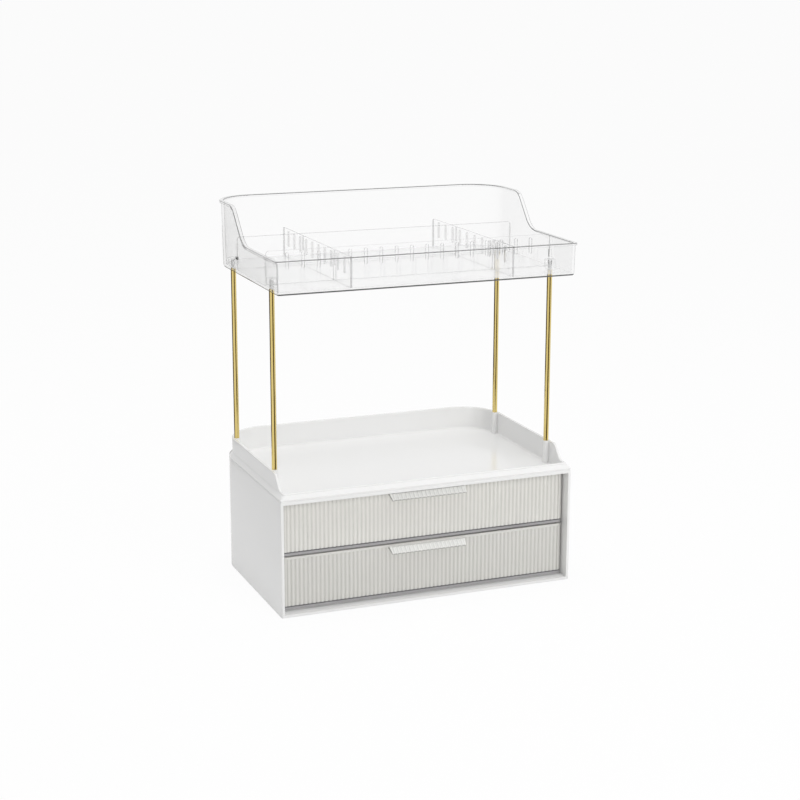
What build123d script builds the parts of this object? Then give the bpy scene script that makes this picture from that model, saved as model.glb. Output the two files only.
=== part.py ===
from build123d import *
from math import atan2, cos, degrees, hypot, sin
import os

# Makeup organizer: a white two-drawer case with a raised-rim deck tray on top,
# and a clear divided tray carried above it on four thin metal posts.
# Millimetres. Front is -Y, right is +X, up is +Z, origin on the ground under the centre.

# Case
case_width = 295.0
case_depth = 200.0
case_wall = 2.8
case_floor = 2.5
case_back_radius = 45.0
case_front_radius = 1.2
front_rail = 3.3
seam_chamfer = 0.7
floor_rail_width = 8.0
floor_rail_inset = 51.5
runner_width = 9.0
runner_thickness = 2.1
runner_front_inset = 21.4
runner_back_inset = 54.0

# Feet
foot_radius = 7.0
foot_proud = 0.4
foot_recess = 1.0
foot_edge = 0.4
foot_side_inset = 39.5
foot_front_inset = 24.0
foot_back_inset = 42.0

# Deck tray
deck_sink = 2.4
deck_floor = 2.2
deck_wall = 2.6
deck_inset = 3.2
deck_band = 1.6
deck_shoulder = 3.6
deck_front_radius = 3.0
deck_lip_height = 6.5
deck_rim_height = 20.0
deck_slope_inset = 14.4
deck_slope_run = 12.0
deck_slope_radius = 9.0
deck_foot_radius = 2.0
deck_relief_gap = 0.4
deck_rim_round = 0.9
rim_slope_limit = 0.3

# Posts and what joins them
post_side_inset = 7.7
post_end_inset = 40.3
post_length = 169.4
post_radius = 2.5
post_wall = 0.5
boss_radius = 3.2
boss_proud = 0.1
insert_length = 25.0
insert_in_boss = 10.0
screw_radius = 1.25
screw_head_radius = 2.6
screw_head_height = 1.6
screw_reach = 7.5
screw_cross_length = 3.0
screw_cross_width = 0.6
screw_cross_depth = 0.7
stud_radius = 1.75
stud_in_post = 15.0
stud_reach = 8.7
stud_tip_chamfer = 0.8

# Clear tray
tray_side_inset = 0.2
tray_end_inset = 2.0
tray_draft = 0.0205
tray_floor = 2.5
tray_wall = 2.5
tray_back_radius = 35.5
tray_front_radius = 3.0
tray_front_height = 31.2
tray_back_height = 64.5
tray_slope_inset = 95.6
tray_slope_run = 30.5
tray_low_radius = 26.0
tray_high_radius = 18.0
tray_bead = 1.5
tray_bead_height = 2.2
tray_base_round = 2.5
tray_rim_round = 0.8
socket_radius = 5.2
socket_cap = 1.2

# Guides for the dividers
guide_rib = 1.0
guide_depth = 1.3
guide_lift = 11.5
guide_height = 15.0
side_guide_depth = 3.6
grid_pitch_x = 15.3
grid_steps = 8
grid_pitch_y = 17.7
row_gap_steps = 5

# Dividers
divider_thickness = 2.0
long_height = 28.4
long_left_steps = -5
long_right_x = 83.8
cross_height = 30.6
cross_front_inset = 45.8
cross_end_gap = 2.2
cross_corner_radius = 3.0
long_corner_radius = 1.5
window_width = 2.8
long_window_lift = 10.8
long_window_height = 15.8
cross_window_lift = 12.8
cross_window_height = 15.4
window_margin_y = 12.0

# Drawers
drawer_side_gap = 2.7
drawer_recess = 9.4
drawer_back_gap = 5.2
drawer_floor_gap = 1.7
drawer_gap = 1.6
drawer_top_gap = 0.7
drawer_wall = 2.2
drawer_floor = 2.5
drawer_height = 50.9
drawer_front_radius = 5.0
drawer_base_radius = 4.0
drawer_side_drop = 3.5
drawer_step_start = 0.5
drawer_step_length = 6.0
flute_count = 68
flute_depth = 0.8
flute_inset = 0.1
base_band = 3.3
rim_band = 2.2
pull_width = 76.0
pull_flat = 3.5
pull_reach = 8.9
pull_drop = 4.9
pull_thickness = 2.0
pull_end_slant = 1.4
pull_sink = 1.6
pull_flute_radius = 2.15
pull_flute_proud = 0.7
pull_margin = 1.0

# Clearances
slide_gap = 0.3
seat_gap = 0.2
fit_gap = 0.05
socket_gap = 0.1
crossing_gap = 0.2
beyond = 20.0

# Sizes that follow from the ones above
case_bottom = foot_proud
case_floor_top = case_bottom + case_floor
case_inner_x = case_width / 2 - case_wall
case_inner_back = case_depth / 2 - case_wall
drawer_lower_bottom = case_floor_top + drawer_floor_gap
drawer_upper_bottom = drawer_lower_bottom + drawer_height + drawer_gap
drawer_half_width = case_inner_x - drawer_side_gap
drawer_front_y = -case_depth / 2 + drawer_recess
drawer_back_y = case_inner_back - drawer_back_gap
drawer_depth = drawer_back_y - drawer_front_y
case_top = drawer_upper_bottom + drawer_height + drawer_top_gap + front_rail
runner_front_y = -case_depth / 2 + runner_front_inset
runner_back_y = case_depth / 2 - runner_back_inset
floor_rail_x = case_width / 2 - floor_rail_inset
foot_x = case_width / 2 - foot_side_inset
foot_front_y = -case_depth / 2 + foot_front_inset
foot_back_y = case_depth / 2 - foot_back_inset
deck_wall_width = case_width - 2 * deck_inset
deck_wall_depth = case_depth - 2 * deck_inset
deck_floor_top = case_top - deck_sink
deck_relief_top = drawer_upper_bottom + drawer_height + deck_relief_gap
deck_relief_back_y = drawer_front_y + drawer_wall + drawer_step_length + slide_gap
deck_lip_top = case_top + deck_lip_height
deck_rim_top = case_top + deck_rim_height
deck_slope_front_y = -case_depth / 2 + deck_slope_inset
deck_slope_back_y = deck_slope_front_y + deck_slope_run
post_x = case_width / 2 - post_side_inset
post_y = case_depth / 2 - post_end_inset
boss_top = deck_rim_top + boss_proud
tray_bottom = boss_top + post_length
stud_top = tray_bottom + stud_reach
tray_width = case_width - 2 * tray_side_inset
tray_depth = case_depth - 2 * tray_end_inset
tray_floor_top = tray_bottom + tray_floor
tray_low_rim = tray_bottom + tray_front_height
tray_high_rim = tray_bottom + tray_back_height
tray_slope_front_y = -tray_depth / 2 + tray_slope_inset
tray_slope_back_y = tray_slope_front_y + tray_slope_run
tray_inner_x = tray_width / 2 - tray_wall
tray_inner_y = tray_depth / 2 - tray_wall
tray_middle_y = -tray_draft * (tray_high_rim - tray_low_rim) / 2
guide_bottom = tray_bottom + guide_lift
guide_top = guide_bottom + guide_height
divider_bottom = tray_floor_top + seat_gap
long_top = divider_bottom + long_height
long_half_length = tray_inner_y - slide_gap
long_left_x = long_left_steps * grid_pitch_x
long_window_bottom = divider_bottom + long_window_lift
long_window_top = long_window_bottom + long_window_height
cross_top = divider_bottom + cross_height
cross_half_length = tray_inner_x - cross_end_gap
cross_window_bottom = divider_bottom + cross_window_lift
cross_window_top = cross_window_bottom + cross_window_height
cross_front_y = -tray_depth / 2 + cross_front_inset
cross_back_y = cross_front_y + row_gap_steps * grid_pitch_y
crossing_width = divider_thickness + 2 * crossing_gap
crossing_height = (divider_bottom + long_top) / 2
post_places = {
    "front_left": (-post_x, -post_y),
    "front_right": (post_x, -post_y),
    "back_left": (-post_x, post_y),
    "back_right": (post_x, post_y),
}
foot_places = {
    "front_left": (-foot_x, foot_front_y),
    "front_right": (foot_x, foot_front_y),
    "back_left": (-foot_x, foot_back_y),
    "back_right": (foot_x, foot_back_y),
}


# A rectangle seen from above, centred, with large back corners and small front ones
def plan(width, depth, back_radius, front_radius):
    face = Rectangle(width, depth)
    face = fillet(face.vertices().group_by(Axis.Y)[-1], back_radius)
    return fillet(face.vertices().group_by(Axis.Y)[0], front_radius)


# The upright solid over a plan, between two heights
def upright(face, bottom, top):
    return extrude(Pos(0, 0, bottom) * face, amount=top - bottom)


# An upright cylinder between two heights
def rod(radius, bottom, top, x=0.0, y=0.0):
    return Pos(x, y, (bottom + top) / 2) * Cylinder(radius, top - bottom)


# A block given by its two opposite corners
def block(low, high):
    size = [b - a for a, b in zip(low, high)]
    middle = [(a + b) / 2 for a, b in zip(low, high)]
    return Pos(*middle) * Box(*size)


# The side view under a rim that is low in front, climbs in an S and is high behind
def under_rim(low, high, front_y, back_y, low_radius, high_radius):
    reach = case_depth
    points = [(-reach, 0), (-reach, low), (front_y, low), (back_y, high), (reach, high), (reach, 0)]
    face = make_face(Polyline(*points, close=True))
    foot = face.vertices().sort_by_distance((front_y, low))[0]
    face = fillet(foot, low_radius)
    head = face.vertices().sort_by_distance((back_y, high))[0]
    return fillet(head, high_radius)


# A side view made into a solid across the whole width
def across(face):
    return extrude(Plane.YZ * face, amount=case_width, both=True)


# Rounds both long edges of a rim that is this wide, and leaves the short edges across it
def round_rim(ring, width, radius):
    edges = ShapeList()
    for face in ring.faces().filter_by(lambda side: side.normal_at().Z > rim_slope_limit):
        for edge in face.edges():
            crosses = abs(edge.tangent_at(1 / 2).X) > 1 - fit_gap and edge.length < width + fit_gap
            if not crosses:
                edges.append(edge)
    return fillet(edges, radius)


def cabinet_shell():
    outer = plan(case_width, case_depth, case_back_radius, case_front_radius)
    inner = plan(
        case_width - 2 * case_wall,
        case_depth - 2 * case_wall,
        case_back_radius - case_wall,
        case_front_radius,
    )
    shell = upright(outer, case_bottom, case_top)
    shell = chamfer(shell.edges().group_by(Axis.Z)[-1], seam_chamfer)
    shell -= upright(inner, case_floor_top, case_top + beyond)
    shell -= block(
        (-case_inner_x, -case_depth, case_floor_top),
        (case_inner_x, 0, case_top - front_rail),
    )
    rail_top = drawer_lower_bottom - slide_gap
    runner_top = drawer_upper_bottom - slide_gap
    for side in (-1, 1):
        middle = side * floor_rail_x
        shell += block(
            (middle - floor_rail_width / 2, runner_front_y, case_bottom),
            (middle + floor_rail_width / 2, runner_back_y, rail_top),
        )
        edges = sorted((side * (case_inner_x - runner_width), side * (case_inner_x + case_wall / 2)))
        shell += block(
            (edges[0], runner_front_y, runner_top - runner_thickness),
            (edges[1], runner_back_y, runner_top),
        )
    for x, y in foot_places.values():
        shell -= rod(foot_radius + socket_gap, 0, case_bottom + foot_recess, x, y)
    return shell


def deck_tray():
    foot_face = plan(case_width, case_depth, case_back_radius, case_front_radius)
    wall_face = plan(
        deck_wall_width, deck_wall_depth, case_back_radius - deck_inset, deck_front_radius
    )
    cavity_face = plan(
        deck_wall_width - 2 * deck_wall,
        deck_wall_depth - 2 * deck_wall,
        case_back_radius - deck_inset - deck_wall,
        deck_front_radius,
    )
    plug_face = plan(
        case_width - 2 * (case_wall + slide_gap),
        case_depth - 2 * (case_wall + slide_gap),
        case_back_radius - case_wall - slide_gap,
        case_front_radius,
    )
    band_top = case_top + deck_band
    band = upright(foot_face, case_top, band_top)
    band = chamfer(band.edges().group_by(Axis.Z)[0], seam_chamfer)
    shoulder = loft(
        [Pos(0, 0, band_top) * foot_face, Pos(0, 0, band_top + deck_shoulder) * wall_face],
        ruled=True,
    )
    rim = under_rim(
        deck_lip_top,
        deck_rim_top,
        deck_slope_front_y,
        deck_slope_back_y,
        deck_slope_radius,
        deck_slope_radius,
    )
    walls = upright(wall_face - cavity_face, case_top, deck_rim_top + beyond) & across(rim)
    walls = round_rim(walls, deck_wall, deck_rim_round)
    cavity = upright(cavity_face, deck_floor_top, deck_rim_top + 2 * beyond)
    cavity = fillet(cavity.edges().group_by(Axis.Z)[0], deck_foot_radius)
    tray = band + shoulder + walls
    tray += upright(plug_face, deck_floor_top - deck_floor, case_top)
    tray -= cavity
    tray -= block(
        (-case_inner_x, -case_depth, 0),
        (case_inner_x, deck_relief_back_y, deck_relief_top),
    )
    for x, y in post_places.values():
        tray += rod(boss_radius, deck_floor_top - deck_floor, boss_top, x, y)
    for x, y in post_places.values():
        insert_hole = post_radius - post_wall
        tray -= rod(insert_hole, boss_top - insert_in_boss - slide_gap, boss_top + beyond, x, y)
        tray -= rod(screw_radius + socket_gap, 0, boss_top, x, y)
    return tray


def post(x, y):
    tube = rod(post_radius, boss_top, tray_bottom, x, y)
    return tube - rod(post_radius - post_wall, boss_top, tray_bottom, x, y)


def post_inserts():
    radius = post_radius - post_wall - fit_gap
    bottom = boss_top - insert_in_boss
    solids = []
    for x, y in post_places.values():
        plug = rod(radius, bottom, bottom + insert_length, x, y)
        plug -= rod(screw_radius + fit_gap, bottom, bottom + screw_reach + slide_gap, x, y)
        solids.append(plug)
    return solids


def post_screws():
    seat = deck_floor_top - deck_floor
    tip = boss_top - insert_in_boss + screw_reach
    solids = []
    for x, y in post_places.values():
        head = rod(screw_head_radius, seat - screw_head_height, seat, x, y)
        head = chamfer(head.edges().group_by(Axis.Z)[0], screw_head_height / 2)
        slot_top = seat - screw_head_height + screw_cross_depth
        arms = (screw_cross_length / 2, screw_cross_width / 2)
        for arm_x, arm_y in (arms, arms[::-1]):
            head -= block((x - arm_x, y - arm_y, 0), (x + arm_x, y + arm_y, slot_top))
        solids.append(head + rod(screw_radius, seat, tip, x, y))
    return solids


def post_studs():
    solids = []
    for x, y in post_places.values():
        stud = rod(post_radius - post_wall - fit_gap, tray_bottom - stud_in_post, tray_bottom, x, y)
        pin = rod(stud_radius, tray_bottom, stud_top, x, y)
        pin = chamfer(pin.edges().group_by(Axis.Z)[-1], stud_tip_chamfer)
        solids.append(stud + pin)
    return solids


# Two upright ribs on the front wall with a slot between them for a long divider
def front_guide(x):
    ribs = []
    for side in (-1, 1):
        near = side * (divider_thickness / 2 + crossing_gap)
        edges = sorted((x + near, x + near + side * guide_rib))
        ribs.append(
            block(
                (edges[0], tray_middle_y - tray_inner_y - tray_wall / 2, guide_bottom),
                (edges[1], tray_middle_y - tray_inner_y + guide_depth, guide_top),
            )
        )
    return ribs


# Two upright ribs on a side wall with a slot between them for a cross divider
def side_guide(side, y):
    ribs = []
    edges = sorted((side * (tray_inner_x + tray_wall / 2), side * (tray_inner_x - side_guide_depth)))
    for turn in (-1, 1):
        near = turn * (divider_thickness / 2 + crossing_gap)
        ends = sorted((y + near, y + near + turn * guide_rib))
        ribs.append(block((edges[0], ends[0], guide_bottom), (edges[1], ends[1], guide_top)))
    return ribs


# The clear tray's outline as a solid that widens evenly upwards, this far outside its outer face
def flared(outside, bottom, top):
    levels = []
    for z in (bottom, top):
        grow = outside + tray_draft * (z - tray_bottom)
        face = plan(
            tray_width + 2 * grow,
            tray_depth + 2 * grow,
            tray_back_radius + grow,
            tray_front_radius + grow,
        )
        levels.append(Pos(0, tray_middle_y, z) * face)
    return loft(levels, ruled=True)


def clear_tray():
    outer = flared(0, tray_bottom, tray_high_rim + beyond)
    rim = under_rim(
        tray_low_rim,
        tray_high_rim,
        tray_slope_front_y,
        tray_slope_back_y,
        tray_low_radius,
        tray_high_radius,
    )
    under_bead = offset(rim, amount=-tray_bead_height)
    cavity = flared(-tray_wall, tray_floor_top, tray_high_rim + 2 * beyond)
    body = fillet(outer.edges().group_by(Axis.Z)[0], tray_base_round)
    body -= cavity
    body = body & across(under_bead)
    bead = flared(tray_bead, tray_floor_top, tray_high_rim + beyond) - cavity
    bead = bead & across(rim - under_bead)
    body += round_rim(bead, tray_bead + tray_wall, tray_rim_round)
    for step in range(-grid_steps, grid_steps + 1):
        for rib in front_guide(step * grid_pitch_x):
            body += rib
    for side in (-1, 1):
        for y in (cross_front_y, cross_back_y):
            for rib in side_guide(side, y):
                body += rib
    for x, y in post_places.values():
        body += rod(socket_radius, tray_bottom, stud_top + slide_gap + socket_cap, x, y) & outer
        body -= rod(stud_radius + socket_gap, 0, stud_top + slide_gap, x, y)
    return body


# The outline of a divider blade: flat foot, rounded top corners
def blade(half_length, bottom, top, radius):
    face = Pos(0, (bottom + top) / 2) * Rectangle(2 * half_length, top - bottom)
    return fillet(face.vertices().group_by(Axis.Y)[-1], radius)


# A round-ended slot cut through a blade
def window(along, bottom, top):
    slot = SlotOverall(top - bottom, window_width, rotation=90)
    return Pos(along, (bottom + top) / 2) * slot


def long_divider(x):
    face = Pos(tray_middle_y, 0) * blade(long_half_length, divider_bottom, long_top, long_corner_radius)
    count = int((long_half_length - window_margin_y) / grid_pitch_y)
    for step in range(-2 * count, 2 * count):
        y = cross_front_y + (step + 1 / 2) * grid_pitch_y
        if abs(y) < long_half_length - window_margin_y:
            face -= window(y, long_window_bottom, long_window_top)
    for y in (cross_front_y, cross_back_y):
        face -= Pos(y, (crossing_height + long_top + beyond) / 2) * Rectangle(
            crossing_width, long_top + beyond - crossing_height
        )
    return Pos(x, 0, 0) * extrude(Plane.YZ * face, amount=divider_thickness / 2, both=True)


def cross_divider(y, windowed):
    face = blade(cross_half_length, divider_bottom, cross_top, cross_corner_radius)
    long_places = (long_left_x, long_right_x)
    for step in range(-grid_steps, grid_steps + 1):
        x = step * grid_pitch_x
        if windowed and min(abs(x - place) for place in long_places) > window_width:
            face -= window(x, cross_window_bottom, cross_window_top)
    for x in long_places:
        face -= Pos(x, crossing_height / 2) * Rectangle(crossing_width, crossing_height + 2 * crossing_gap)
    return Pos(0, y, 0) * extrude(Plane.XZ * face, amount=divider_thickness / 2, both=True)


# One drawer volume: plan corners seen from above, lower corners seen from the front
def drawer_volume(inset, bottom, top):
    back_radius = case_back_radius - case_wall - drawer_back_gap - inset
    base_radius = drawer_base_radius - inset
    width = 2 * (drawer_half_width - inset)
    face = plan(width, drawer_depth - 2 * inset, back_radius, drawer_front_radius - inset)
    body = upright(Pos(0, drawer_front_y + drawer_depth / 2) * face, bottom, top)
    end = Pos(0, (bottom + top) / 2) * Rectangle(width, top - bottom)
    end = fillet(end.vertices().group_by(Axis.Y)[0], base_radius)
    return body & extrude(Plane.XZ * end, amount=case_depth, both=True)


# The space between the flat front plane and the row of reeds, cut away to leave the reeds
def flute_cutter(bottom, top):
    reach = drawer_half_width - drawer_front_radius
    pitch = 2 * reach / flute_count
    root = drawer_front_y + flute_inset + flute_depth
    front = drawer_front_y - beyond
    edges = []
    for index in range(flute_count):
        start = -reach + index * pitch
        edges.append(SagittaArc((start, root), (start + pitch, root), -flute_depth))
    edges.append(Polyline((reach, root), (reach, front), (-reach, front), (-reach, root)))
    return upright(make_face(edges), bottom, top)


# The sloping finger lip over the top middle of a drawer front, with reeds down its slope
def pull(top):
    wall_y = drawer_front_y + flute_inset + flute_depth
    edge_y = drawer_front_y - pull_flat
    tip_y = drawer_front_y - pull_reach
    tip_z = top - pull_drop
    side = [
        (wall_y, top),
        (edge_y, top),
        (tip_y, tip_z),
        (tip_y + pull_thickness / 3, tip_z - pull_thickness / 2),
        (edge_y + pull_thickness / 2, top - pull_thickness),
        (wall_y, top - pull_thickness),
    ]
    body = extrude(Plane.YZ * make_face(Polyline(*side, close=True)), amount=pull_width / 2, both=True)
    run = hypot(tip_y - edge_y, pull_drop)
    tilt = degrees(atan2(pull_drop, edge_y - tip_y))
    reach = drawer_half_width - drawer_front_radius
    pitch = 2 * reach / flute_count
    sink = pull_flute_radius - pull_flute_proud
    middle_y = (edge_y + tip_y) / 2 + sink * sin(atan2(pull_drop, edge_y - tip_y))
    middle_z = top - pull_drop / 2 - sink * cos(atan2(pull_drop, edge_y - tip_y))
    half_count = int(pull_width / 2 / pitch)
    for index in range(-half_count, half_count):
        x = (index + 1 / 2) * pitch
        reed = Rot(90 + tilt, 0, 0) * Cylinder(pull_flute_radius, run)
        body += Pos(x, middle_y, middle_z) * reed
    underside = [
        (wall_y, top - pull_thickness),
        (edge_y + pull_thickness / 2, top - pull_thickness),
        (tip_y + pull_thickness / 3, tip_z - pull_thickness / 2),
        (tip_y - pull_thickness, tip_z - pull_thickness / 2),
        (tip_y - pull_thickness, tip_z - 2 * pull_drop),
        (wall_y, tip_z - 2 * pull_drop),
    ]
    body -= across(make_face(Polyline(*underside, close=True)))
    half = pull_width / 2
    slant = half - pull_end_slant
    outline = [
        (-half, wall_y),
        (half, wall_y),
        (half, edge_y),
        (slant, tip_y - pull_margin),
        (-slant, tip_y - pull_margin),
        (-half, edge_y),
    ]
    return body & upright(make_face(Polyline(*outline, close=True)), top - 2 * pull_drop, top)


def drawer(bottom):
    top = bottom + drawer_height
    body = drawer_volume(0, bottom, top)
    body -= drawer_volume(drawer_wall, bottom + drawer_floor, top + beyond)
    side_top = top - drawer_side_drop
    step_y = drawer_front_y + drawer_wall
    back = drawer_back_y + beyond
    drop = [
        (step_y + drawer_step_start, top + beyond),
        (step_y + drawer_step_start, top),
        (step_y + drawer_step_length, side_top),
        (back, side_top),
        (back, top + beyond),
    ]
    body -= across(make_face(Polyline(*drop, close=True)))
    body -= flute_cutter(bottom + base_band, top - rim_band)
    return body + pull(top - pull_sink)


def foot_pad(x, y):
    pad = rod(foot_radius, 0, case_bottom + foot_recess, x, y)
    return chamfer(pad.edges().group_by(Axis.Z)[0], foot_edge)


os.makedirs("parts", exist_ok=True)

nodes = {
    "cabinet_shell": cabinet_shell(),
    "deck_tray": deck_tray(),
    "post_inserts": Compound(children=post_inserts()),
    "post_screws": Compound(children=post_screws()),
    "post_studs": Compound(children=post_studs()),
    "clear_tray": clear_tray(),
    "long_divider_left": long_divider(long_left_x),
    "long_divider_right": long_divider(long_right_x),
    "cross_divider_front": cross_divider(cross_front_y, windowed=True),
    "cross_divider_back": cross_divider(cross_back_y, windowed=False),
    "drawer_lower": drawer(drawer_lower_bottom),
    "drawer_upper": drawer(drawer_upper_bottom),
}
for corner, place in post_places.items():
    nodes["post_" + corner] = post(*place)
for corner, place in foot_places.items():
    nodes["foot_pad_" + corner] = foot_pad(*place)
for name, solid in nodes.items():
    export_step(solid, "parts/" + name + ".step")
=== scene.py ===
import math

import bpy
from mathutils import Euler, Matrix, Vector


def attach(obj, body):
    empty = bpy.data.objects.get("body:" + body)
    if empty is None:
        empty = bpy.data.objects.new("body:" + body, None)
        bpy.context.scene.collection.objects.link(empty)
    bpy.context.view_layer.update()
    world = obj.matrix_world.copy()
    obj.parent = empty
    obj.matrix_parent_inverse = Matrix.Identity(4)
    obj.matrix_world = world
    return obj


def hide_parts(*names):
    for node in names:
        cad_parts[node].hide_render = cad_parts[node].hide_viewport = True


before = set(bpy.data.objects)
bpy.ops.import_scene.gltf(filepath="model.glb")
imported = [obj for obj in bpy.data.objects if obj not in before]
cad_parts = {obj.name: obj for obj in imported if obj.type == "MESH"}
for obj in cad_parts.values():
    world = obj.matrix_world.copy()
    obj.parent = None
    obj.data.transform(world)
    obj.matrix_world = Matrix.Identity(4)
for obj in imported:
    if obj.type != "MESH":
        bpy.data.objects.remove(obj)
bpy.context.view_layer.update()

print("frame loaded:", len(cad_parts), "nodes")

# small helpers


def deselectAll():
    if bpy.context.mode != "OBJECT":
        bpy.ops.object.mode_set(mode="OBJECT")
    bpy.ops.object.select_all(action="DESELECT")


def pick(piece):  # makes one object active and the only one selected
    deselectAll()
    piece.hide_viewport = False
    piece.select_set(True)
    bpy.context.view_layer.objects.active = piece


def mergedCopy(node, name, merge=2e-6, flat=0.05):  # a CAD node's solid as a clean mesh of its own
    piece = bpy.data.objects.new(name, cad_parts[node].data.copy())
    piece.data.name = name
    piece.data.materials.clear()
    bpy.context.scene.collection.objects.link(piece)
    pick(piece)
    bpy.ops.object.mode_set(mode="EDIT")
    bpy.ops.mesh.select_all(action="SELECT")
    bpy.ops.mesh.remove_doubles(threshold=merge)
    bpy.ops.mesh.customdata_custom_splitnormals_clear()
    bpy.ops.mesh.dissolve_limited(angle_limit=math.radians(flat))
    bpy.ops.object.mode_set(mode="OBJECT")
    return piece


def softenEdges(piece, width, segments=2, angle=40):  # the small radius that every moulded edge has
    pick(piece)
    bevel = piece.modifiers.new("edge", "BEVEL")
    bevel.width = width
    bevel.segments = segments
    bevel.limit_method = "ANGLE"
    bevel.angle_limit = math.radians(angle)
    bevel.use_clamp_overlap = True
    bpy.ops.object.modifier_apply(modifier=bevel.name)


def smooth(piece, angle=35):
    pick(piece)
    bpy.ops.object.shade_smooth_by_angle(angle=math.radians(angle))


def stand(piece, body, slotName, finish, *nodes):  # body, slot name (not used), material and the CAD nodes it stands for
    piece.data.materials.clear()
    piece.data.materials.append(finish)
    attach(piece, body)
    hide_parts(*nodes)


def cutLevel(piece, height):  # an edge loop all round at this height, so that a finish can end there
    pick(piece)
    bpy.ops.object.mode_set(mode="EDIT")
    bpy.ops.mesh.select_all(action="SELECT")
    bpy.ops.mesh.bisect(plane_co=(0, 0, height), plane_no=(0, 0, 1))
    bpy.ops.object.mode_set(mode="OBJECT")


def markFaces(piece, finish, test):  # the faces whose centre and normal pass the test get this finish
    piece.data.materials.append(finish)
    slot = len(piece.data.materials) - 1
    for face in piece.data.polygons:
        if test(face.center, face.normal):
            face.material_index = slot


def reach(piece, way):  # how far the piece goes along one axis, from and to
    places = [vertex.co[way] for vertex in piece.data.vertices]
    return min(places), max(places)


def dimmed(colour, share):
    return tuple(share * part for part in colour[:3]) + (1,)


# shader maths


class Sock:  # an output socket; an expression on it adds its Math nodes
    def __init__(self, tree, socket):
        self.tree, self.socket = tree, socket

    def calc(self, operation, first, second):
        made = self.tree.nodes.new("ShaderNodeMath")
        made.operation = operation
        for place, value in enumerate((first, second)):
            if isinstance(value, Sock):
                self.tree.links.new(value.socket, made.inputs[place])
            else:
                made.inputs[place].default_value = value
        return Sock(self.tree, made.outputs[0])

    def __add__(self, other):
        return self.calc("ADD", self, other)

    def __radd__(self, other):
        return self.calc("ADD", other, self)

    def __sub__(self, other):
        return self.calc("SUBTRACT", self, other)

    def __rsub__(self, other):
        return self.calc("SUBTRACT", other, self)

    def __mul__(self, other):
        return self.calc("MULTIPLY", self, other)

    def __rmul__(self, other):
        return self.calc("MULTIPLY", other, self)

    def __pow__(self, other):
        return self.calc("POWER", self, other)

    def atMost(self, limit):
        return self.calc("MINIMUM", self, limit)


class Finish:  # one node tree, of a material or of the world
    def __init__(self, name, owner=None):
        self.block = owner or bpy.data.materials.new(name)
        self.block.use_nodes = True
        self.tree = self.block.node_tree
        self.tree.nodes.clear()

    def node(self, kind, settings=None, inputs=None, output=0):
        made = self.tree.nodes.new("ShaderNode" + kind)
        for key, value in (settings or {}).items():
            setattr(made, key, value)
        for key, value in (inputs or {}).items():
            if isinstance(value, Sock):
                self.tree.links.new(value.socket, made.inputs[key])
            else:
                made.inputs[key].default_value = value
        return Sock(self.tree, made.outputs[output]) if made.outputs else made

    def grain(self, scale, detail=2.0, stretch=(1, 1, 1)):  # noise on Object coordinates
        at = self.node("TexCoord", output="Object")
        where = self.node("Mapping", inputs={"Vector": at, "Scale": stretch})
        return self.node("TexNoise", inputs={"Vector": where, "Scale": scale, "Detail": detail})

    def relief(self, height, strength, depth):
        return self.node("Bump", inputs={"Strength": strength, "Distance": depth, "Height": height})

    def blend(self, share, first, second):  # two colours
        return self.node("Mix", {"data_type": "RGBA"}, {0: share, 6: first, 7: second}, output=2)

    def finish(self, surface, target="Material"):
        self.node("Output" + target, inputs={"Surface": surface})
        return self.block


# finishes

whitePlasticLook = {
    "light": (0.885, 0.885, 0.88, 1), "dark": (0.865, 0.865, 0.86, 1), "cloudScale": 14.0,
    "peelScale": 900.0, "peelDetail": 1.0, "peelBump": 0.02, "peelDepth": 0.0004,
    "roughLow": 0.14, "roughSpan": 0.08, "index": 1.5,
}


def makeWhitePlastic():
    look = whitePlasticLook
    mat = Finish("whitePlastic")
    cloud = mat.grain(look["cloudScale"])
    peel = mat.grain(look["peelScale"], detail=look["peelDetail"])
    return mat.finish(mat.node("BsdfPrincipled", inputs={
        "Base Color": mat.blend(cloud, look["dark"], look["light"]),
        "Roughness": look["roughLow"] + look["roughSpan"] * cloud,
        "IOR": look["index"],
        "Normal": mat.relief(peel, look["peelBump"], look["peelDepth"]),
    }))


goldLook = {
    "light": (0.76, 0.61, 0.26, 1), "dark": (0.66, 0.52, 0.18, 1), "cloudScale": 30.0, "cloudShare": 0.6,
    "brushScale": 260.0, "brushStretch": (9, 9, 0.25), "brushShare": 0.4, "brushBump": 0.06, "brushDepth": 0.0002,
    "roughLow": 0.07, "roughSpan": 0.06,
}


def makeGold():
    look = goldLook
    mat = Finish("goldMetal")
    brush = mat.grain(look["brushScale"], stretch=look["brushStretch"])
    cloud = mat.grain(look["cloudScale"])
    tone = cloud * look["cloudShare"] + brush * look["brushShare"]
    return mat.finish(mat.node("BsdfPrincipled", inputs={
        "Base Color": mat.blend(tone, look["dark"], look["light"]),
        "Metallic": 1.0,
        "Roughness": look["roughLow"] + look["roughSpan"] * brush,
        "Normal": mat.relief(brush, look["brushBump"], look["brushDepth"]),
    }))


# clear walls let the light straight through and show where they are seen along their face; their grey, darkest where
# they are seen along the face, is painted shade
clearLook = {
    "wall": {"light": (0.62, 0.62, 0.62, 1), "dark": (0.18, 0.18, 0.185, 1), "slantShow": 0.24},
    "floor": {"light": (0.86, 0.86, 0.86, 1), "dark": (0.70, 0.70, 0.705, 1), "slantShow": 0.95},
    "socket": {"light": (0.50, 0.50, 0.50, 1), "dark": (0.12, 0.12, 0.12, 1), "slantShow": 0.50},
    "drawerWall": {"light": (0.80, 0.79, 0.76, 1), "dark": (0.35, 0.345, 0.33, 1), "slantShow": 0.25},
    "alongShadePower": 8.0, "faceShow": 0.01, "slantPower": 2.5, "rimShow": 0.6, "rimPower": 14.0,
    "rippleScale": 60.0, "rippleDetail": 1.0, "rippleBump": 0.03, "rippleDepth": 0.0006, "slantBlend": 0.5,
    "cloudScale": 18.0, "rough": 0.08, "roughSpan": 0.03, "index": 1.49,
}


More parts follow.
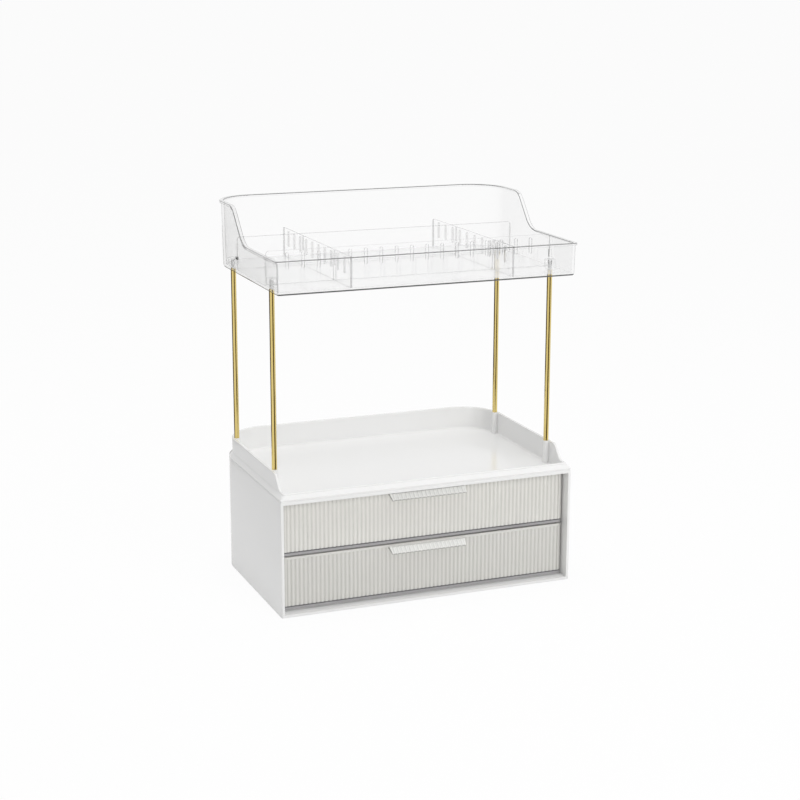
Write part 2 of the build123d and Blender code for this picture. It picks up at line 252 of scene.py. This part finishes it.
def makeClear(name, light, dark, slantShow):
    look = clearLook
    mat = Finish(name)
    ripple = mat.grain(look["rippleScale"], detail=look["rippleDetail"])
    cloud = mat.grain(look["cloudScale"])
    bump = mat.relief(ripple, look["rippleBump"], look["rippleDepth"])
    along = mat.node("LayerWeight", inputs={"Blend": look["slantBlend"], "Normal": bump}, output="Facing")
    slant = slantShow * along ** look["slantPower"]
    rim = look["rimShow"] * along ** look["rimPower"]
    return mat.finish(mat.node("BsdfPrincipled", inputs={
        # painted shade: the base colour darkens where the wall is seen along its face
        "Base Color": mat.blend(along ** look["alongShadePower"], light, dark),
        "Roughness": look["rough"] + look["roughSpan"] * cloud,
        "IOR": look["index"],
        "Alpha": look["faceShow"] + slant + rim,
        "Normal": bump,
    }))


# moulded edges turn the light away, so they read as grey lines; those of the tray are fainter from inside the wall
edgeLook = {
    "rim": {"colour": (0.07, 0.07, 0.072, 1), "show": 0.80, "inside": 0.55},
    "foot": {"colour": (0.04, 0.04, 0.042, 1), "show": 0.90, "inside": 0.10},
    "corner": {"colour": (0.22, 0.22, 0.225, 1), "show": 0.35, "inside": 0.10},
    "blade": {"colour": (0.24, 0.24, 0.245, 1), "show": 0.36, "inside": 1.0},
    "slot": {"colour": (0.34, 0.34, 0.345, 1), "show": 0.15, "inside": 1.0},
    "frontSlot": {"colour": (0.34, 0.34, 0.345, 1), "show": 0.32, "inside": 1.0},
    "cloudScale": 40.0, "cloudDrop": 0.8, "cloudShow": 0.08, "rough": 0.15, "index": 1.49,
}


def makeEdge(name, colour, show, inside):
    look = edgeLook
    mat = Finish(name)
    cloud = mat.grain(look["cloudScale"])
    back = mat.node("NewGeometry", output="Backfacing")
    return mat.finish(mat.node("BsdfPrincipled", inputs={
        "Base Color": mat.blend(cloud, colour, dimmed(colour, look["cloudDrop"])),
        "Roughness": look["rough"],
        "IOR": look["index"],
        "Alpha": (show + look["cloudShow"] * cloud) * (1 - (1 - inside) * back),
    }))


# divider faces bend the light a little
bladeLook = {
    "face": (0.995, 0.995, 0.995, 1), "speck": (0.985, 0.985, 0.985, 1),
    "cloudScale": 18.0, "roughSpan": 0.008, "index": 1.02,
}


def makeBlade():
    look = bladeLook
    mat = Finish("dividerPlastic")
    cloud = mat.grain(look["cloudScale"])
    return mat.finish(mat.node("BsdfPrincipled", inputs={
        "Base Color": mat.blend(cloud, look["speck"], look["face"]),
        "Roughness": look["roughSpan"] * cloud,
        "IOR": look["index"],
        "Transmission Weight": 1.0,
    }))


# frosted plastic of the drawer fronts; the lower front is darker as painted shade, and the pulls are lighter than
# either as painted light; the darker reed flanks, pull edges and base band are painted shade too
frostLook = {
    "crest": (0.87, 0.86, 0.825, 1), "shadedFlank": (0.775, 0.765, 0.73, 1), "through": 0.22, "lowerPaintedShade": 0.91,
    "pull": (0.955, 0.955, 0.93, 1), "pullEdge": (0.45, 0.45, 0.43, 1), "pullThrough": 0.04, "pullShare": 0.9,
    "base": (0.44, 0.43, 0.44, 1), "line": (0.16, 0.16, 0.165, 1), "baseThrough": 0.2,
    "peg": (0.86, 0.86, 0.86, 1), "pegThrough": 0.1,
    "cloudScale": 22.0, "cloudDrop": 0.96, "rough": 0.05, "roughSpan": 0.05, "index": 1.49,
    "rippleScale": 90.0, "rippleDetail": 1.0, "rippleBump": 0.03, "rippleDepth": 0.0006,
}


def makeFrosted(name, colour, through):
    look = frostLook
    mat = Finish(name)
    cloud = mat.grain(look["cloudScale"])
    ripple = mat.grain(look["rippleScale"], detail=look["rippleDetail"])
    return mat.finish(mat.node("BsdfPrincipled", inputs={
        "Base Color": mat.blend(cloud, dimmed(colour, look["cloudDrop"]), colour),
        "Roughness": look["rough"] + look["roughSpan"] * cloud,
        "IOR": look["index"],
        "Transmission Weight": through,
        "Normal": mat.relief(ripple, look["rippleBump"], look["rippleDepth"]),
    }))


# the small parts that the photograph hides
dullLook = {
    "nylon": {
        "light": (0.86, 0.86, 0.83, 1), "dark": (0.78, 0.78, 0.75, 1), "rough": 0.45, "metallic": 0.0, "scale": 400.0,
    },
    "steel": {
        "light": (0.66, 0.66, 0.68, 1), "dark": (0.5, 0.5, 0.52, 1), "rough": 0.25, "metallic": 1.0, "scale": 900.0,
    },
    "rubber": {
        "light": (0.62, 0.62, 0.61, 1), "dark": (0.5, 0.5, 0.49, 1), "rough": 0.6, "metallic": 0.0, "scale": 700.0,
    },
    "detail": 3.0, "bump": 0.15, "depth": 0.0002, "roughSpan": 0.1,
}


def makeDull(name, light, dark, rough, metallic, scale):
    look = dullLook
    mat = Finish(name)
    speck = mat.grain(scale, detail=look["detail"])
    return mat.finish(mat.node("BsdfPrincipled", inputs={
        "Base Color": mat.blend(speck, dark, light),
        "Metallic": metallic,
        "Roughness": rough + look["roughSpan"] * speck,
        "Normal": mat.relief(speck, look["bump"], look["depth"]),
    }))


whitePlastic = makeWhitePlastic()
gold = makeGold()
clearPlastic = makeClear("clearPlastic", **clearLook["wall"])
trayFloor = makeClear("trayFloor", **clearLook["floor"])
rimEdge = makeEdge("rimEdge", **edgeLook["rim"])
footEdge = makeEdge("footEdge", **edgeLook["foot"])
cornerEdge = makeEdge("cornerEdge", **edgeLook["corner"])
bladeEdge = makeEdge("bladeEdge", **edgeLook["blade"])
slotEdge = makeEdge("slotEdge", **edgeLook["slot"])
frontSlotEdge = makeEdge("frontSlotEdge", **edgeLook["frontSlot"])
socketPlastic = makeClear("socketPlastic", **clearLook["socket"])
dividerPlastic = makeBlade()
pegPlastic = makeFrosted("pegPlastic", frostLook["peg"], frostLook["pegThrough"])
drawerWall = makeClear("drawerWall", **clearLook["drawerWall"])
# painted shade: the dark band along the foot of each drawer front and the darker line along the band's top
drawerBaseShade = makeFrosted("drawerBaseShade", frostLook["base"], frostLook["baseThrough"])
drawerLineShade = makeFrosted("drawerLineShade", frostLook["line"], frostLook["baseThrough"])
# painted shade along the pull's ends and underside
pullEdge = makeFrosted("pullEdge", frostLook["pullEdge"], frostLook["pullThrough"])
nylon = makeDull("whiteNylon", **dullLook["nylon"])
steel = makeDull("screwSteel", **dullLook["steel"])
rubber = makeDull("footRubber", **dullLook["rubber"])
print("finishes made")

# case, deck, posts and pegs

caseLook = {"edge": 0.00035}
corners = ("front_left", "front_right", "back_left", "back_right")

case = mergedCopy("cabinet_shell", "case")
softenEdges(case, caseLook["edge"])
smooth(case)
stand(case, "organizer", "white_plastic", whitePlastic, "cabinet_shell")

deck = mergedCopy("deck_tray", "deckTray")
smooth(deck)
stand(deck, "organizer", "white_plastic", whitePlastic, "deck_tray")

for corner in corners:
    tube = mergedCopy("post_" + corner, "postTube_" + corner)
    smooth(tube)
    stand(tube, "organizer", "gold_metal", gold, "post_" + corner)

pegs = mergedCopy("post_studs", "traySocketPegs")
smooth(pegs)
stand(pegs, "organizer", "clear_plastic", pegPlastic, "post_studs")
print("case, deck, posts and pegs made")

# clear tray; the Turn values bound the part of a normal that picks a rounded edge

trayLook = {
    "frontHeight": 0.0312, "rimDrop": 0.0027, "backArcY": 0.060, "rimTurn": (0.25, 0.97), "rimUp": 0.2,
    "baseRound": 0.0027, "footTurn": (-0.985, -0.3), "floorTop": 0.0028, "faceUp": 0.9,
    "cornerReach": 0.009, "cornerTurn": (0.55, 0.92), "cornerLean": 0.15,
    "postX": 0.1398, "postY": 0.0597, "socketReach": 0.0055,
}

tray = mergedCopy("clear_tray", "clearTray")
smooth(tray)
stand(tray, "organizer", "clear_plastic", clearPlastic, "clear_tray")
trayBottom = reach(tray, 2)[0]
frontRowEnd = reach(tray, 1)[0] + trayLook["cornerReach"]
sideRowStart = reach(tray, 0)[1] - trayLook["cornerReach"]


def onRim(spot, normal):  # the rounded edges along the bead, not its flat top
    if spot.z < trayBottom + trayLook["frontHeight"] - trayLook["rimDrop"]:
        return False
    low, high = trayLook["rimTurn"]
    straight = frontRowEnd < spot.y < trayLook["backArcY"]
    sideways = abs(normal.x) if straight else math.hypot(normal.x, normal.y)
    underside = normal.z < -trayLook["faceUp"]
    return underside or (low < sideways < high and normal.z > trayLook["rimUp"])


def onFoot(spot, normal):  # the lower half of the round along the base
    low, high = trayLook["footTurn"]
    return spot.z < trayBottom + trayLook["baseRound"] and low < normal.z < high


def onCorner(spot, normal):  # the upright round corners in front
    low, high = trayLook["cornerTurn"]
    atCorner = spot.y < frontRowEnd and abs(spot.x) > sideRowStart
    return atCorner and abs(normal.z) < trayLook["cornerLean"] and low < abs(normal.x) < high


def onSocket(spot, normal):  # the four cups that take the pegs
    offset = math.hypot(abs(spot.x) - trayLook["postX"], abs(spot.y) - trayLook["postY"])
    return offset < trayLook["socketReach"] and spot.z > trayBottom + trayLook["floorTop"]


def onFloor(spot, normal):
    return spot.z < trayBottom + trayLook["floorTop"] and normal.z > trayLook["faceUp"]


markFaces(tray, trayFloor, onFloor)
markFaces(tray, socketPlastic, onSocket)
markFaces(tray, cornerEdge, onCorner)
markFaces(tray, rimEdge, onRim)
markFaces(tray, footEdge, onFoot)

# dividers; thin is the axis across the blade, 0 for x and 1 for y

dividerLook = {"edge": 0.0002, "edgeSegments": 1, "trim": 0.0005, "face": 0.9}
dividers = (
    ("long_divider_left", "longDividerLeft", "divider_grid", 0, slotEdge),
    ("long_divider_right", "longDividerRight", "divider_grid", 0, slotEdge),
    ("cross_divider_front", "crossDividerFront", "front_cross_divider", 1, frontSlotEdge),
    ("cross_divider_back", "crossDividerBack", "back_cross_divider", 1, slotEdge),
)


def makeDivider(node, name, body, thin, slotFinish):
    look = dividerLook
    blade = mergedCopy(node, name)
    softenEdges(blade, look["edge"], segments=look["edgeSegments"])
    smooth(blade)
    stand(blade, body, "clear_plastic", dividerPlastic, node)
    along = 1 - thin
    start, stop = reach(blade, along)
    topRow = reach(blade, 2)[1] - look["trim"]

    def onThickness(spot, normal):
        return abs(normal[thin]) < look["face"]

    def onOutline(spot, normal):  # the top and the two ends, not the slots
        toEnd = min(spot[along] - start, stop - spot[along])
        return onThickness(spot, normal) and (spot.z > topRow or toEnd < look["trim"])

    markFaces(blade, slotFinish, onThickness)
    markFaces(blade, bladeEdge, onOutline)


for divider in dividers:
    makeDivider(*divider)
print("clear tray and dividers made")

# drawers

drawerLook = {
    "base": 0.0033, "line": 0.0011, "front": 0.0065, "pullProud": 0.0006, "halfWidth": 0.1443,
    "flankTurn": (0.33, 0.8), "pullUnderside": -0.3, "lineFacing": 0.2,
}


def makeDrawer(which, share):
    look = drawerLook
    through, pullThrough = frostLook["through"], frostLook["pullThrough"]
    crest = makeFrosted(which + "Crest", dimmed(frostLook["crest"], share), through)
    # the reed flanks get a darker copy of the front's plastic, which is painted shade
    shadedFlank = makeFrosted(which + "Flank", dimmed(frostLook["shadedFlank"], share), through)
    # painted light: the pulls get a lighter copy of the plastic, as their upward slope catches more light
    pullCrest = makeFrosted(which + "PullCrest", frostLook["pull"], pullThrough)
    pullFlank = makeFrosted(which + "PullFlank", dimmed(frostLook["pull"], frostLook["pullShare"]), pullThrough)
    drawer = mergedCopy("drawer_" + which, "drawer" + which.capitalize())
    baseTop = reach(drawer, 2)[0] + look["base"]
    lineFoot = baseTop - look["line"]
    cutLevel(drawer, baseTop)
    cutLevel(drawer, lineFoot)
    side = reach(drawer, 0)[1]
    for vertex in drawer.data.vertices:  # the photograph shows the fronts closing the opening from side to side
        vertex.co.x *= look["halfWidth"] / side
    smooth(drawer)
    stand(drawer, which + "_drawer", "drawer_plastic", crest, "drawer_" + which)
    front = min(vertex.co.y for vertex in drawer.data.vertices if vertex.co.z < baseTop)  # the pulls are above
    frontBack = front + look["front"]
    pullFront = front - look["pullProud"]
    tiltLow, tiltHigh = look["flankTurn"]

    def onFlank(spot, normal):
        return tiltLow < abs(normal.x) < tiltHigh

    def onPull(spot, normal):
        return spot.y < pullFront

    def onPullFlank(spot, normal):
        return onPull(spot, normal) and onFlank(spot, normal)

    def onPullEdge(spot, normal):  # its ends and its underside, which get painted shade
        return onPull(spot, normal) and (abs(normal.x) > tiltHigh or normal.z < look["pullUnderside"])

    def onWall(spot, normal):
        return spot.y > frontBack

    def onBase(spot, normal):
        return spot.z < lineFoot and spot.y < frontBack

    def onLine(spot, normal):
        return lineFoot < spot.z < baseTop and spot.y < frontBack and normal.y < look["lineFacing"]

    # painted shade on the flank faces of the reeds and of the pulls
    markFaces(drawer, shadedFlank, onFlank)
    markFaces(drawer, pullCrest, onPull)
    markFaces(drawer, pullFlank, onPullFlank)
    markFaces(drawer, pullEdge, onPullEdge)
    markFaces(drawer, drawerWall, onWall)
    markFaces(drawer, drawerBaseShade, onBase)
    markFaces(drawer, drawerLineShade, onLine)
    drawer.visible_shadow = False  # the clear plastic lets the lamps light the inside


# the lower front gets painted shade, a dimmed copy of the upper front's colours
makeDrawer("lower", frostLook["lowerPaintedShade"])
makeDrawer("upper", 1.0)
print("drawers made")

# carried-over CAD nodes

hiddenParts = {"post_inserts": nylon, "post_screws": steel}
for corner in corners:
    hiddenParts["foot_pad_" + corner] = rubber
for node, finish in hiddenParts.items():
    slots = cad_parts[node].data.materials
    slots.clear()
    slots.append(finish)
print("pieces made")

# floor, light and camera

stageLook = {
    "floorSize": 60.0, "floorSteps": 8, "floorColour": (0.93, 0.93, 0.93, 1), "whiteShare": 0.94,
    "worldLevel": 0.46,
}


def seenDirectly(mat):  # 1 for what the camera sees, straight or through gloss and glass
    straight = mat.node("LightPath", output="Is Camera Ray")
    byGloss = mat.node("LightPath", output="Is Glossy Ray")
    throughGlass = mat.node("LightPath", output="Is Transmission Ray")
    return (straight + byGloss + throughGlass).atMost(1.0)


def makeStage():
    look = stageLook
    steps = look["floorSteps"]
    deselectAll()
    bpy.ops.mesh.primitive_grid_add(x_subdivisions=steps, y_subdivisions=steps, size=look["floorSize"])
    floor = bpy.context.active_object
    floor.name = "paleFloor"
    mat = Finish("paleFloor")
    plain = mat.node("BsdfDiffuse", inputs={"Color": look["floorColour"]})
    lit = mat.node("Emission", inputs={"Color": (1, 1, 1, 1), "Strength": 1.0})
    share = seenDirectly(mat) * look["whiteShare"]
    floor.data.materials.append(mat.finish(mat.node("MixShader", inputs={0: share, 1: plain, 2: lit})))
    world = bpy.data.worlds.new("studio")
    bpy.context.scene.world = world
    sky = Finish("studio", world)
    level = look["worldLevel"] + (1 - look["worldLevel"]) * seenDirectly(sky)
    sky.finish(sky.node("Background", inputs={"Color": (1, 1, 1, 1), "Strength": level}), "World")


lampLook = {
    "keyLight": {"place": (0.5, -2.0, 0.95), "target": (0, 0, 0.15), "size": (1.2, 1.0), "watts": 17.0},
    "topLight": {"place": (-0.1, 0.1, 1.9), "target": (0, 0, 0.1), "size": (1.4, 1.0), "watts": 14.0},
}


def addSoftbox(name, place, target, size, watts):
    lamp = bpy.data.lights.new(name, "AREA")
    lamp.shape = "RECTANGLE"
    lamp.size, lamp.size_y = size
    lamp.energy = watts
    box = bpy.data.objects.new(name, lamp)
    bpy.context.scene.collection.objects.link(box)
    box.location = place
    box.rotation_euler = (Vector(target) - Vector(place)).to_track_quat("-Z", "Y").to_euler()
    box.visible_glossy = False  # the posts mirror the bright room and the dark cards instead


# dark cards lying on the floor that only reflections see; they draw the stripes along the posts
cardLook = {
    "grey": (0.10, 0.075, 0.03, 1), "lift": 0.0005, "steps": 12,
    "frontCard": {"start": 255, "stop": 306, "near": 0.3, "far": 2.2},  # degrees round the object, and radii
    "backCard": {"start": 68, "stop": 172, "near": 0.62, "far": 2.2},
}


def addCard(name, start, stop, near, far):
    deselectAll()
    bpy.ops.mesh.primitive_grid_add(x_subdivisions=cardLook["steps"], y_subdivisions=1, size=1.0)
    card = bpy.context.active_object
    card.name = name
    for vertex in card.data.vertices:  # the square card, 1 m wide, becomes a sector
        turn = math.radians(start + (stop - start) * (vertex.co.x + 0.5))
        radius = far + (near - far) * (vertex.co.y + 0.5)
        vertex.co = (radius * math.cos(turn), radius * math.sin(turn), cardLook["lift"])
    mat = Finish(name)
    card.data.materials.append(mat.finish(mat.node("BsdfDiffuse", inputs={"Color": cardLook["grey"]})))
    card.visible_camera = card.visible_diffuse = card.visible_shadow = card.visible_transmission = False


cameraLook = {
    "lens": 80.807, "sensor": 36.0, "place": (-0.6284, -1.5842, 0.5972),
    "yaw": 21.928, "pitch": 14.026, "roll": -0.121,
}


def makeCamera():
    look = cameraLook
    data = bpy.data.cameras.new("photoView")
    data.lens = look["lens"]
    data.sensor_width = look["sensor"]
    eye = bpy.data.objects.new("photoView", data)
    bpy.context.scene.collection.objects.link(eye)
    turn = Euler((math.radians(90 - look["pitch"]), 0, math.radians(-look["yaw"]))).to_matrix().to_4x4()
    roll = Matrix.Rotation(math.radians(-look["roll"]), 4, "Z")
    eye.matrix_world = Matrix.Translation(look["place"]) @ turn @ roll
    bpy.context.scene.camera = eye


makeStage()
for name, sizes in lampLook.items():
    addSoftbox(name, **sizes)
for name in ("frontCard", "backCard"):
    addCard(name, **cardLook[name])
makeCamera()
bpy.context.scene.view_settings.view_transform = "Standard"
print("stage and camera set")
